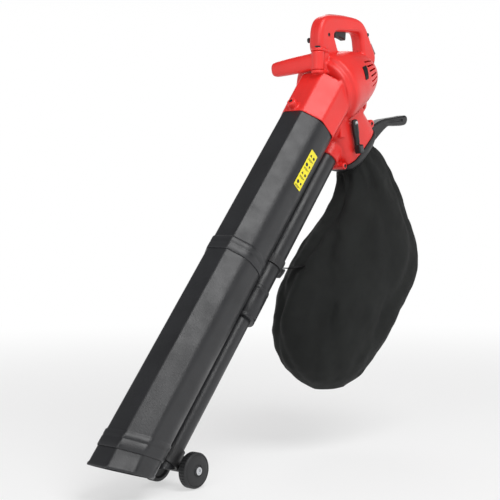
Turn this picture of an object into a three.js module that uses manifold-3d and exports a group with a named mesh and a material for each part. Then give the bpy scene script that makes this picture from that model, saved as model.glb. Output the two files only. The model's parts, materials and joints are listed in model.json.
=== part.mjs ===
// Corded leaf blower and vacuum, made as separate pieces.
// Millimetres. Origin at the middle of the main grip; +X points rearward (towards the motor's tail),
// +Y to the user's right, +Z up. The tool is drawn in its carrying pose, nozzle down and forward.
import * as THREE from 'three';
import { mergeVertices } from 'three/addons/utils/BufferGeometryUtils.js';
import Module from 'manifold-3d';

const wasm = await Module();
wasm.setup();

// ---------- driving dimensions ----------
const GAP = 0.35;                      // clearance between neighbouring pieces
const JOINT = { x: -138, z: -247 };    // centre of the vacuum tube's joint with the housing
const TUBE_LEAN = 40.47;               // lean of the tubes from vertical, degrees
const TUBE_R = 67;                     // vacuum tube, eight-sided, corner radius
const TUBE_WALL = 2.6;
const TUBE_COLLAR = { top: -357, low: -390, proud: 2.4 };
const TUBE_END = -891;                 // nozzle mouth on the tube's axis
const MOUTH_SLANT = 0.39;              // slope of the mouth against the axis
const BAND = { top: -817, low: -851 }; // flared band at the lower tube's end
const BLOW_OFFSET = 98;                // blow tube's axis from the vacuum tube's axis
const BLOW_R = 26;
const BLOW_LOW_R = 20;
const BLOW_WALL = 2.2;
const BLOW_COLLAR = { top: -377, low: -457, r: 28.6 };
const BLOW_END = -822;
const FAN = { x: -56, z: -152 };       // fan centre, on the motor's axis
const MOTOR_RISE = 20;                 // motor axis above horizontal, degrees
const FAN_R = 84;                      // outside of the fan housing
const WALL = 3.5;
const MOTOR_TAIL = 163;                // outer end of the motor dome along the motor's axis
const PORT = { x: 34, z: -280 };       // centre of the bag port
const PORT_TILT = 138.65;              // port's outward direction, turned from +Z about +Y, degrees
const PORT_HALF = { x: 68, y: 46 };
const GRIP_HALF_WIDTH = 18;
const WHEEL_R = 36;
const WHEEL_WIDTH = 21;
const WHEEL_TRACK = 104;
const AXLE_R = 4;
const AXLE_BELOW_BLOW_TUBE = 26.5;
const AXLE_STATION = -804;
const LEVER_PIVOT = { x: -22, z: -228 };
const HUB = { x: -118, y: -20, z: -92 }; // side handle's pivot
const SIDE_HANDLE_LENGTH = 121;
const DIAL = { x: -93, z: -40, r: 6, low: 18.7, high: 25 }; // speed knob on the handle's right side

// ---------- materials ----------
const paint = (color, roughness, metalness = 0) =>
  new THREE.MeshStandardMaterial({ color, roughness, metalness });
const red = paint(0xd8322c, 0.36);
const tubeBlack = paint(0x2b2c30, 0.45);
const black = paint(0x1b1c1e, 0.55);
const softBlack = paint(0x151617, 0.85);
const bagCloth = paint(0x101211, 0.95);
const steel = paint(0xb8bcc0, 0.35, 0.9);
const darkSteel = paint(0x55585c, 0.45, 0.8);
const copper = paint(0xb5673a, 0.4, 0.8);
const yellow = paint(0xe6d21a, 0.5);
const carbon = paint(0x303030, 0.8);

// ---------- geometry helpers ----------
const rad = THREE.MathUtils.degToRad;
const vec = (x, y, z) => new THREE.Vector3(x, y, z);

const placed = (frame, local) => new THREE.Matrix4().multiplyMatrices(frame, local);
const shifted = (x) => new THREE.Matrix4().makeTranslation(x, 0, 0);

/** A frame turned about +Y by `turn` degrees, with its origin at a point of the side view. */
function frameAt({ x, y = 0, z }, turn) {
  return new THREE.Matrix4().makeRotationY(rad(turn)).setPosition(x, y, z);
}
const wandFrame = frameAt(JOINT, TUBE_LEAN);
const motorFrame = frameAt(FAN, 90 - MOTOR_RISE);
const portFrame = frameAt(PORT, PORT_TILT);
const worldFrame = new THREE.Matrix4();

/** Turns a closed geometry into a solid that can be joined and cut. */
function solid(geometry, frame = worldFrame) {
  let shape = geometry.clone();
  for (const key of Object.keys(shape.attributes)) {
    if (key !== 'position') shape.deleteAttribute(key);
  }
  shape.applyMatrix4(frame);
  shape = mergeVertices(shape, 1e-3);
  const points = shape.attributes.position;
  const corners = Array.from(shape.index.array);
  const faces = [];
  let volume = 0;
  const [a, b, c] = [vec(), vec(), vec()];
  for (let i = 0; i < corners.length; i += 3) {
    const [p, q, r] = corners.slice(i, i + 3);
    if (p === q || q === r || r === p) continue;
    faces.push([p, q, r]);
    volume += a.fromBufferAttribute(points, p).dot(
      b.fromBufferAttribute(points, q).cross(c.fromBufferAttribute(points, r)));
  }
  const turned = volume < 0 ? faces.map(([p, q, r]) => [p, r, q]) : faces;
  return new wasm.Manifold(new wasm.Mesh({
    numProp: 3,
    vertProperties: new Float32Array(points.array),
    triVerts: new Uint32Array(turned.flat()),
  }));
}

function mesh(name, shape, material) {
  const raw = shape.getMesh();
  const geometry = new THREE.BufferGeometry();
  geometry.setAttribute('position', new THREE.BufferAttribute(new Float32Array(raw.vertProperties), 3));
  geometry.setIndex(new THREE.BufferAttribute(new Uint32Array(raw.triVerts), 1));
  geometry.computeVertexNormals();
  const piece = new THREE.Mesh(geometry, material);
  piece.name = name;
  return piece;
}

const join = (first, ...rest) => rest.reduce((sum, next) => sum.add(next), first);
const cut = (first, ...rest) => rest.reduce((left, next) => left.subtract(next), first);

/** Solid of revolution about the frame's Z axis; profile is [radius, z] pairs. */
function turned(profile, frame = worldFrame, segments = 28) {
  const points = profile.map(([r, z]) => new THREE.Vector2(r, z));
  return solid(new THREE.LatheGeometry(points, segments).rotateX(Math.PI / 2), frame);
}
const disc = (r, low, high, frame, segments = 20) =>
  turned([[0, low], [r, low], [r, high], [0, high]], frame, segments);
const pipe = (inner, outer, low, high, frame, segments = 24) =>
  turned([[inner, low], [outer, low], [outer, high], [inner, high], [inner, low]], frame, segments);

/** Cylinder along Y at a point of the side view. */
function crossPin(x, z, r, low, high, segments = 16) {
  const pin = new THREE.CylinderGeometry(r, r, high - low, segments);
  return solid(pin.translate(x, (low + high) / 2, z));
}

/** Cylinder of radius r between two points. */
function rod(from, to, r, segments = 20) {
  const along = to.clone().sub(from);
  const turn = new THREE.Quaternion().setFromUnitVectors(vec(0, 1, 0), along.clone().normalize());
  const rodShape = new THREE.CylinderGeometry(r, r, along.length(), segments);
  const middle = from.clone().add(to).multiplyScalar(0.5);
  return solid(rodShape, new THREE.Matrix4().compose(middle, turn, vec(1, 1, 1)));
}

function box(low, high, frame = worldFrame) {
  const size = high.map((value, i) => value - low[i]);
  const middle = high.map((value, i) => (value + low[i]) / 2);
  return solid(new THREE.BoxGeometry(...size).translate(...middle), frame);
}

/** Side-view outline of [x, z] points, with rounded corners and eased edges, `width` thick across Y. */
function slab(outline, width, { round = 0, bevel = 0, middle = 0, frame = worldFrame } = {}) {
  const ring = (inset, y) => roundedShape(insetOutline(outline, inset), round).getPoints(3)
    .map((p) => vec(p.x, middle + y, p.y));
  const half = width / 2;
  const rings = bevel > 0
    ? [ring(bevel, -half), ring(0, bevel - half), ring(0, half - bevel), ring(bevel, half)]
    : [ring(0, -half), ring(0, half)];
  return skinned(rings, frame);
}

/** Outline moved inwards by `inset` on every edge. */
function insetOutline(outline, inset) {
  const corners = outline.map(([x, z]) => new THREE.Vector2(x, z));
  const inward = THREE.ShapeUtils.area(corners) > 0 ? inset : -inset;
  return corners.map((here, i) => {
    const before = corners[(i + corners.length - 1) % corners.length];
    const after = corners[(i + 1) % corners.length];
    const enter = here.clone().sub(before).normalize();
    const leave = after.clone().sub(here).normalize();
    const bend = 1 + enter.dot(leave);
    return [here.x - (inward * (enter.y + leave.y)) / bend, here.y + (inward * (enter.x + leave.x)) / bend];
  });
}

/** Closed skin through flat rings of any outline; the end rings are filled as they are. */
function skinned(rings, frame) {
  const count = rings[0].length;
  const faces = [];
  for (let k = 0; k + 1 < rings.length; k += 1) {
    for (let i = 0; i < count; i += 1) {
      const j = (i + 1) % count;
      const [a, b, c, d] = [k * count + i, k * count + j, (k + 1) * count + j, (k + 1) * count + i];
      faces.push(a, b, c, a, c, d);
    }
  }
  const flat = rings[0].map((p) => new THREE.Vector2(p.x, p.z));
  const last = (rings.length - 1) * count;
  const turnedOver = THREE.ShapeUtils.area(flat) > 0;
  for (const [p, q, r] of THREE.ShapeUtils.triangulateShape(flat, [])) {
    if (turnedOver) faces.push(r, q, p, last + p, last + q, last + r);
    else faces.push(p, q, r, last + r, last + q, last + p);
  }
  const geometry = new THREE.BufferGeometry();
  const positions = rings.flat().flatMap((p) => [p.x, p.y, p.z]);
  geometry.setAttribute('position', new THREE.Float32BufferAttribute(positions, 3));
  geometry.setIndex(faces);
  return solid(geometry, frame);
}

/** Closed outline whose corners are rounded by `round`, given one radius or one for each corner. */
function roundedShape(outline, round) {
  const shape = new THREE.Shape();
  const count = outline.length;
  outline.forEach(([x, z], i) => {
    const here = new THREE.Vector2(x, z);
    const before = new THREE.Vector2(...outline[(i + count - 1) % count]);
    const after = new THREE.Vector2(...outline[(i + 1) % count]);
    const r = Array.isArray(round) ? round[i] : round;
    const toward = (other) => here.clone()
      .add(other.clone().sub(here).setLength(Math.min(r, here.distanceTo(other) / 2.01)));
    const enter = toward(before);
    const leave = toward(after);
    if (i === 0) shape.moveTo(enter.x, enter.y);
    else shape.lineTo(enter.x, enter.y);
    if (r > 0) shape.quadraticCurveTo(here.x, here.y, leave.x, leave.y);
  });
  shape.closePath();
  return shape;
}

/** Closed skin through rings of equal point counts. */
function loft(rings, frame = worldFrame) {
  const count = rings[0].length;
  const positions = rings.flat().flatMap((p) => [p.x, p.y, p.z]);
  const faces = [];
  for (let k = 0; k + 1 < rings.length; k += 1) {
    for (let i = 0; i < count; i += 1) {
      const j = (i + 1) % count;
      const [a, b, c, d] = [k * count + i, k * count + j, (k + 1) * count + j, (k + 1) * count + i];
      faces.push(a, b, c, a, c, d);
    }
  }
  for (const [first, flip] of [[0, true], [(rings.length - 1) * count, false]]) {
    const ring = rings[first / count];
    const centre = ring.reduce((sum, p) => sum.add(p), vec()).multiplyScalar(1 / count);
    const hub = positions.length / 3;
    positions.push(centre.x, centre.y, centre.z);
    for (let i = 0; i < count; i += 1) {
      const j = (i + 1) % count;
      if (flip) faces.push(hub, first + j, first + i);
      else faces.push(hub, first + i, first + j);
    }
  }
  const geometry = new THREE.BufferGeometry();
  geometry.setAttribute('position', new THREE.Float32BufferAttribute(positions, 3));
  geometry.setIndex(faces);
  return solid(geometry, frame);
}

/** Ring of an eight-sided section with softened corners, at height z and sloped by `slant` along X. */
function octagon(r, z, slant = 0) {
  const points = [];
  for (let corner = 0; corner < 8; corner += 1) {
    for (const side of [-5, 0, 5]) {
      const angle = rad(22.5 + corner * 45 + side);
      const reach = side === 0 ? r * 0.994 : (r * Math.cos(rad(22.5))) / Math.cos(rad(17.5));
      const x = reach * Math.cos(angle);
      points.push(vec(x, reach * Math.sin(angle), z + slant * x));
    }
  }
  return points;
}

/** Ring on a rounded-rectangle curve: power 2 is an ellipse, higher is squarer. */
function oval(halfX, halfY, z, { power = 2, shift = 0, count = 20, tilt = 0 } = {}) {
  const points = [];
  const lean = rad(tilt);
  for (let i = 0; i < count; i += 1) {
    const angle = ((i + 0.5) / count) * 2 * Math.PI;
    const [c, s] = [Math.cos(angle), Math.sin(angle)];
    const x = halfX * Math.sign(c) * Math.abs(c) ** (2 / power);
    const y = halfY * Math.sign(s) * Math.abs(s) ** (2 / power);
    points.push(vec(shift + x * Math.cos(lean), y, z + x * Math.sin(lean)));
  }
  return points;
}

/** The same ring of points moved into another frame. */
const inFrame = (ring, frame) => ring.map((p) => p.clone().applyMatrix4(frame));

// ---------- housing ----------
const HANDLE_OUTLINE = [
  [-84, -94], [-106, -60], [-103, -6], [-78, 18], [0, 24], [58, 22], [82, 4], [98, -24], [122, -58],
  [112, -98], [0, -104],
];
const HANDLE_ROUND = [4, 6, 14, 16, 20, 14, 14, 10, 8, 4, 4];
const HANDLE_WINDOW = [[-33, -62], [66, -60], [60, -22], [52, -10], [-40, -17], [-50, -26]];

/** Fan housing and motor dome along the motor's axis. */
const domeOutside = [
  [0, -20], [70, -20], [80, -12], [FAN_R, -4], [FAN_R, 12], [80, 38],
  [73, 74], [64, 107], [53, 134], [42, 152], [28, MOTOR_TAIL], [0, MOTOR_TAIL],
];

function housingOutside() {
  const duct = loft([octagon(TUBE_R + 1.5, 0), octagon(TUBE_R + 3, 40), octagon(TUBE_R + 4, 118)], wandFrame);
  const dome = turned(domeOutside, motorFrame, 28);
  const flowBox = loft([
    oval(56, 42, -112, { power: 4 }),
    oval(63, 45, -70, { power: 4 }),
    oval(PORT_HALF.x, PORT_HALF.y, -20, { power: 4 }),
    oval(PORT_HALF.x, PORT_HALF.y, 0, { power: 4 }),
  ], portFrame);
  const throat = box([-60, -43, -262], [30, 43, -190]);
  const blowSocket = turned([[0, 0], [BLOW_R + 4.5, 0], [BLOW_R + 4.5, 62], [0, 84]],
    frameAt(blowPoint(0), TUBE_LEAN), 24);
  const neck = slab([[-30, -215], [40, -205], [58, -186], [58, -150], [-10, -120]], 72, { round: 6, bevel: 6 });
  const handle = cut(
    slab(HANDLE_OUTLINE, 2 * GRIP_HALF_WIDTH, { round: HANDLE_ROUND, bevel: 5 }),
    slab(HANDLE_WINDOW, 60, { round: 8 }),
  );
  const lowerLobe = crossPin(-29.9, -325.5, 8, -34, 34);
  const upperLobe = crossPin(83.7, -222.9, 10, -30, 30);
  return join(dome, duct, flowBox, throat, blowSocket, neck, handle, lowerLobe, upperLobe,
    sideHandleBracket(), tubeLug());
}

/** Point on the blow tube's axis at a station along it. */
function blowPoint(station, off = BLOW_OFFSET) {
  const p = vec(off, 0, station).applyMatrix4(wandFrame);
  return { x: p.x, z: p.z };
}

/** Ribbed bracket on the housing's nose that carries the side handle's pivot. */
function sideHandleBracket() {
  const { x, y } = HUB;
  const rib = slab([[-101, -64], [-84, -60], [-84, -152], [-108, -138], [-110, -120], [-101, -112]], 14,
    { round: 2, bevel: 1.5, middle: y });
  const ears = [[-70, -63], [-119, -112]].flatMap(([low, high]) => [
    crossTurned(HUB, 15, low, high), box([x, y - 10, low], [-88, y + 10, high])]);
  return join(rib, ...ears);
}

/** Upright cylinder on the side handle's pivot line. */
function crossTurned(at, r, low, high) {
  return disc(r, low, high, frameAt({ x: at.x, y: at.y, z: 0 }, 0), 20);
}

/** Lug at the front of the joint that the tube's locking screw goes through. */
function tubeLug() {
  return turned([[0, 56], [11, 56], [11, 79], [8, 81], [0, 81]], lugFrame, 24);
}
const lugFrame = placed(
  wandFrame, new THREE.Matrix4().makeRotationY(rad(-90)).setPosition(0, 0, 13));

const domeInside = [
  [0, 24], [76, 24], [76, 38], [60.5, 106], [38.5, 148], [26, 159], [0, 159],
];

function housingInside() {
  const ductBore = loft([
    inFrame(octagon(TUBE_R - 0.6, -20), wandFrame),
    inFrame(octagon(TUBE_R - 0.6, 26), wandFrame),
    inFrame(octagon(62, 56), wandFrame),
    inFrame(octagon(54, -24), motorFrame),
    inFrame(octagon(54, -14), motorFrame),
  ]);
  const fanChamber = turned([[0, -16], [66, -16], [76, -9], [80.5, -3], [80.5, 19], [0, 19]], motorFrame, 28);
  const shaftHole = disc(17, 15, 30, motorFrame, 24);
  const dome = turned(domeInside, motorFrame, 28);
  const flowBox = loft([
    oval(46, 36, -88, { power: 4 }),
    oval(58, 40.5, -66, { power: 4 }),
    oval(PORT_HALF.x - WALL - 1, PORT_HALF.y - WALL - 1, -20, { power: 4 }),
    oval(PORT_HALF.x - WALL - 1, PORT_HALF.y - WALL - 1, 10, { power: 4 }),
  ], portFrame);
  const throat = box([-40, -38, -258], [20, 38, -212]);
  const blowMouth = box([72, -37, 56], [124, 37, 96], wandFrame);
  const blowBore = disc(BLOW_R + GAP, -10, 74, frameAt(blowPoint(0), TUBE_LEAN), 24);
  const neck = slab([[4, -196], [34, -196], [50, -180], [50, -146], [10, -140]], 64, { round: 4 });
  return [ductBore, fanChamber, shaftHole, dome, flowBox, throat, blowBore, blowMouth, neck, handleInside()];
}

/** Room inside the handle for the switch, capacitor, speed control and leads. */
function handleInside() {
  const room = 2 * GRIP_HALF_WIDTH - 2 * WALL;
  const grip = slab([[-88, -2], [-74, 14], [0, 20], [56, 18], [76, 2], [62, -4], [52, -6.5], [-42, -13],
    [-62, -10]], room);
  const frontPost = slab([[-101, -60], [-98, -8], [-60, -8], [-54, -22], [-42, -58]], room);
  const rearPost = slab([[72, 4], [93, -26], [114, -58], [104, -84], [74, -84], [70, -60], [64, -20]], room);
  return join(grip, frontPost, rearPost);
}

/** Slots along the motor dome, and below it in the neck and the flow box, for the motor's cooling air. */
function coolingSlots() {
  const slots = [];
  for (const side of [-1, 1]) {
    for (let i = 0; i < 6; i += 1) {
      const turn = new THREE.Matrix4().makeRotationZ(rad(side * (56 + i * 10)));
      slots.push(box([-85, -1.9, 84], [-50, 1.9, 128], placed(motorFrame, turn)));
    }
    const [near, far] = side > 0 ? [32, 54] : [-54, -32];
    for (let i = 0; i < 5; i += 1) {
      slots.push(box([-32 + 9 * i, near, -218 + 4.2 * i], [-27 + 9 * i, far, -209 + 4.2 * i]));
    }
    slots.push(box([34, near, -190], [44, far, -168]));
  }
  return slots;
}

const SCREWS = [
  { x: -72, z: -28, half: 18 }, { x: 84, z: -12, half: 18 }, { x: -29.9, z: -325.5, half: 34 },
  { x: 83.7, z: -222.9, half: 30 }, { x: 104, z: -78, half: 18 },
];

const inletFrame = frameAt({ x: 112, z: -44 }, 52);

function housingHalves() {
  const bosses = SCREWS.map(({ x, z, half }) => crossPin(x, z, 6, -half + 3, half - 3, 12));
  const holes = SCREWS.flatMap(({ x, z, half }) => [
    crossPin(x, z, 2.4, -half - 2, half - 4, 8), crossPin(x, z, 4.6, -half - 2, -half + 5, 12)]);
  const walls = join(cut(housingOutside(), ...housingInside()), ...bosses);
  const openings = [
    box([-38.5, -9, -30], [10.5, 9, 0]),                                     // trigger slot
    crossPin(DIAL.x, DIAL.z, 3, 4, 24),                                      // speed knob's shaft
    box([-15, -11.5, -28], [15, 11.5, 8], inletFrame),                       // power inlet
    crossPin(LEVER_PIVOT.x, LEVER_PIVOT.z, 5.4, -60, -30),                   // mode lever's shaft
    crossPin(LEVER_PIVOT.x, LEVER_PIVOT.z, 5.4, 30, 46),
    crossTurned(HUB, 3.4, -119.5, -50),                                        // side handle's bolt
    disc(2.6, 50, 90, lugFrame, 16), disc(4.5, 77, 90, lugFrame, 16),        // tube screw
    motorLead(3.4), ...holes, ...coolingSlots(),
  ];
  const shell = cut(walls, ...openings);
  const far = 600;
  const left = shell.intersect(box([-far, -far, -far], [far, -GAP / 2, far]));
  const right = shell.intersect(box([-far, GAP / 2, -far], [far, far, far]));
  return [mesh('housing_left', left, red), mesh('housing_right', right, red)];
}

function housingFittings() {
  const pieces = [];
  pieces.push(mesh('grip_cover', slab(
    [[-62, 20.2 + 2.4], [0, 24.6], [50, 24.2], [50, 26.4], [0, 27], [-62, 25]], 22, { round: 0.8 }), red));
  SCREWS.forEach(({ x, z, half }, i) => {
    const screw = join(crossPin(x, z, 2, -half + 1.5, half - 6, 8),
      cut(crossPin(x, z, 4, -half + 0.8, -half + 4, 12),
        box([x - 3, -half, z - 0.5], [x + 3, -half + 2, z + 0.5])));
    pieces.push(mesh(`housing_screw_${i + 1}`, screw, darkSteel));
  });
  const tubeScrew = join(disc(2.2, 68, 78, lugFrame, 12), disc(4, 77.4, 80.4, lugFrame, 20));
  pieces.push(mesh('tube_screw', tubeScrew, darkSteel));
  const socket = join(
    cut(box([-14.5, -11, -16], [14.5, 11, 4], inletFrame), box([-11, -8, -12], [11, 8, 6], inletFrame)),
    disc(2, -13, -2, placed(inletFrame, shifted(5)), 12),
    disc(2, -13, -2, placed(inletFrame, shifted(-5)), 12));
  pieces.push(mesh('power_inlet', socket, black));
  pieces.push(mesh('switch_body', box([-26, -9, 5], [18, 9, 17]), black));
  pieces.push(mesh('capacitor', rod(vec(26, -5, 5), vec(52, -5, 5), 7.5), yellow));
  pieces.push(mesh('speed_control', box([-74, -9, -54], [-56, 9, -38]), black));
  pieces.push(mesh('rating_badge', badge(), black));
  pieces.push(mesh('finger_guard', fingerGuard(), black));
  pieces.push(mesh('motor_lead', motorLead(), softBlack));
  return pieces;
}

/** Plain slanted badge on the dome's left side. */
function badge() {
  const frame = placed(motorFrame, new THREE.Matrix4().makeRotationZ(rad(-195)));
  const plate = slab([[-15, 48], [-15, 64], [15, 80], [15, 58]], 40, { round: 1.5, middle: 75, frame });
  const skin = (proud) => turned(
    [[0, 38], [80 + proud, 38], [73 + proud, 74], [64 + proud, 107], [0, 107]], motorFrame, 36);
  return plate.intersect(skin(1.6)).subtract(skin(0.4));
}

/** Cross of bars that keeps fingers from the fan. */
function fingerGuard() {
  const bars = [box([-58, -1.5, 18], [58, 1.5, 22], wandFrame), box([-1.5, -58, 18], [1.5, 58, 22], wandFrame)];
  return join(pipe(56, 60, 17, 23, wandFrame, 24), ...bars, pipe(24, 27, 18, 22, wandFrame, 16));
}

/** Lead from the switch to the motor; a fatter copy makes the channel it lies in. */
function motorLead(r = 2.4) {
  const route = new THREE.CatmullRomCurve3([
    vec(19, 9.5, 8), vec(40, 9.5, 9), vec(58, 9, 8), vec(68, 8, 1), vec(73, 8, -14), vec(76, 6, -32),
    vec(80, 6, -54), vec(78, 6, -72),
  ]);
  const section = new THREE.Shape().absarc(0, 0, r, 0, 2 * Math.PI);
  return solid(new THREE.ExtrudeGeometry(section, { steps: 20, extrudePath: route, curveSegments: 4 }));
}

// ---------- controls ----------
function trigger() {
  const blade = slab([[-37, -8], [-34, -31], [-20, -27], [-4, -30], [7, -33], [9, -8]], 16, { round: 3, bevel: 2 });
  return join(blade, box([-20, -5, -9], [0, 5, -1.5]));
}

function speedDial() {
  const { x, z, r, low, high } = DIAL;
  const grooves = [];
  for (let i = 0; i < 10; i += 1) {
    const angle = rad(i * 36);
    grooves.push(crossPin(x + r * Math.cos(angle), z + r * Math.sin(angle), 0.7, low + 1.5, high + 1, 6));
  }
  return join(cut(crossPin(x, z, r, low, high, 24), ...grooves), crossPin(x, z, 2.6, 9.6, low + 1, 16));
}

/** Flap across the flow box, its shaft, and the lever outside on the left. */
function modePieces() {
  const { x, z } = LEVER_PIVOT;
  const toTip = frameAt({ x, z }, 168);   // +Z runs from the pivot down to the lever's knob
  const shaft = crossPin(x, z, 5, -60, 42, 24);
  const flap = cut(
    join(crossPin(x, z, 8, -35, 35, 24), box([-2, -35, 4], [2, 35, 50], toTip)),
    crossPin(x, z, 5.3, -70, 70, 24));
  const arm = join(
    crossPin(x, z, 11, -59, -49, 24),
    box([-9, -59, 0], [9, -49, 62], toTip),
    box([-9, -67, 50], [9, -50, 70], toTip));
  return [
    mesh('mode_shaft', shaft, steel),
    mesh('diverter_flap', flap, black),
    mesh('mode_lever', cut(arm, crossPin(x, z, 5.3, -70, -45, 24)), black),
  ];
}

function sideHandle() {
  const reach = vec(-Math.sin(rad(4)), Math.cos(rad(4)), -Math.tan(rad(7))).normalize();
  const across = vec(0, 0, 1).cross(reach).normalize();
  const upward = reach.clone().cross(across).normalize();
  const frame = new THREE.Matrix4().makeBasis(across, upward, reach).setPosition(HUB.x, HUB.y, HUB.z + 1);
  const rings = [[0, 12, 19], [10, 12.5, 19], [26, 13, 19], [70, 15.5, 18.5],
    [SIDE_HANDLE_LENGTH - 8, 15, 16.5],
    [SIDE_HANDLE_LENGTH - 2, 13, 14.5], [SIDE_HANDLE_LENGTH, 9, 10]]
    .map(([z, halfX, halfY]) => oval(halfX, halfY, z, { power: 2.6, count: 20 }));
  const stick = loft(rings, frame);
  const hub = crossTurned(HUB, 14.5, -111.6, -70.4);
  const trim = join(crossTurned(HUB, 60, -150, -111.6), crossTurned(HUB, 60, -70.4, -40));
  const rootTrim = trim.intersect(crossTurned(HUB, 17.5, -160, -30));
  return cut(join(stick, hub), rootTrim, crossTurned(HUB, 3.6, -130, -50));
}

function controlPieces() {
  return [
    mesh('trigger', trigger(), black),
    mesh('speed_dial', speedDial(), black),
    ...modePieces(),
    mesh('side_handle', sideHandle(), red),
    mesh('side_handle_bolt', join(
      crossTurned(HUB, 3, -118, -60), crossTurned(HUB, 6, -62.6, -58)), darkSteel),
  ];
}

// ---------- motor ----------
function bladedWheel(radius, low, high, blades, thickness) {
  const parts = [disc(radius, low, low + 3, motorFrame, 24), disc(14, low, high, motorFrame, 16)];
  for (let i = 0; i < blades; i += 1) {
    const turn = new THREE.Matrix4().makeRotationZ((i / blades) * 2 * Math.PI);
    const frame = placed(motorFrame, turn);
    parts.push(box([8, -thickness / 2, low], [radius - 1, thickness / 2, high], frame));
  }
  return join(...parts);
}

function motorPieces() {
  const shaftBore = disc(4 + GAP, -60, 200, motorFrame, 24);
  const slotted = (count, r, size, low, high) => {
    const cuts = [];
    for (let i = 0; i < count; i += 1) {
      const turn = new THREE.Matrix4().makeRotationZ((i / count) * 2 * Math.PI);
      cuts.push(box([r, -size, low - 1], [r + 20, size, high + 1], placed(motorFrame, turn)));
    }
    return cuts;
  };
  const fan = join(
    disc(62, 13, 15.5, motorFrame, 32), disc(15, -8, 15.5, motorFrame, 20),
    ...Array.from({ length: 6 }, (_, i) => {
      const turn = new THREE.Matrix4().makeRotationZ((i / 6) * 2 * Math.PI);
      return box([10, -1.5, -8], [61, 1.5, 14], placed(motorFrame, turn));
    }));
  const shredder = join(disc(12, -12.5, -9.5, motorFrame, 20),
    box([-34, -5, -12.5], [34, 5, -9.5], motorFrame), box([-5, -34, -12.5], [5, 34, -9.5], motorFrame));
  const pieces = [
    mesh('motor_shaft', disc(4, -20, 154, motorFrame, 20), steel),
    mesh('impeller', cut(fan, shaftBore), black),
    mesh('shredder_blade', cut(shredder, shaftBore, disc(18, -9.4, 0, motorFrame)), steel),
    mesh('impeller_nut', cut(disc(7.5, -19, -12.9, motorFrame, 6), shaftBore), steel),
    mesh('cooling_fan', cut(bladedWheel(40, 43, 53, 6, 1.6), shaftBore), black),
    mesh('armature', cut(
      disc(24.5, 61, 105, motorFrame, 24), shaftBore, ...slotted(8, 20.5, 1.6, 61, 105)), darkSteel),
    mesh('armature_winding', cut(pipe(9, 19, 105.4, 115, motorFrame, 24), shaftBore), copper),
    mesh('commutator', cut(disc(12.5, 117, 131, motorFrame, 24), shaftBore), copper),
    mesh('motor_bracket', join(
      pipe(14, 71, 26, 29, motorFrame, 28), pipe(11.4, 15, 26, 39, motorFrame, 20)), steel),
    mesh('front_bearing', pipe(4 + GAP, 11, 29, 37, motorFrame, 20), steel),
    mesh('rear_bearing', pipe(4 + GAP, 9.5, 143, 151, motorFrame, 20), steel),
    mesh('rear_bracket', join(pipe(9.9, 13, 141, 152, motorFrame, 20),
      cut(box([-39, -7, 141], [39, 7, 145], motorFrame), disc(12, 130, 170, motorFrame))), steel),
    mesh('motor_stator', pipe(26, 46, 66, 114, motorFrame, 28), darkSteel),
  ];
  for (const [name, side] of [['brush_left', -1], ['brush_right', 1]]) {
    const low = side > 0 ? 13 : -34;
    pieces.push(mesh(name, box([-5, low, 119], [5, low + 21, 129], motorFrame), carbon));
  }
  return pieces;
}

// ---------- tubes ----------
function octagonTube(sections, wall) {
  const outer = loft(sections.map(([r, z, slant = 0]) => octagon(r, z, slant)));
  const [first, last] = [sections[0], sections[sections.length - 1]];
  const inner = loft([octagon(first[0] - wall, first[1] + 1, first[2] ?? 0),
    ...sections.slice(1, -1).map(([r, z, slant = 0]) => octagon(r - wall, z, slant)),
    octagon(last[0] - wall, last[1] - 1, last[2] ?? 0)]);
  return cut(outer, inner);
}

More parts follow.
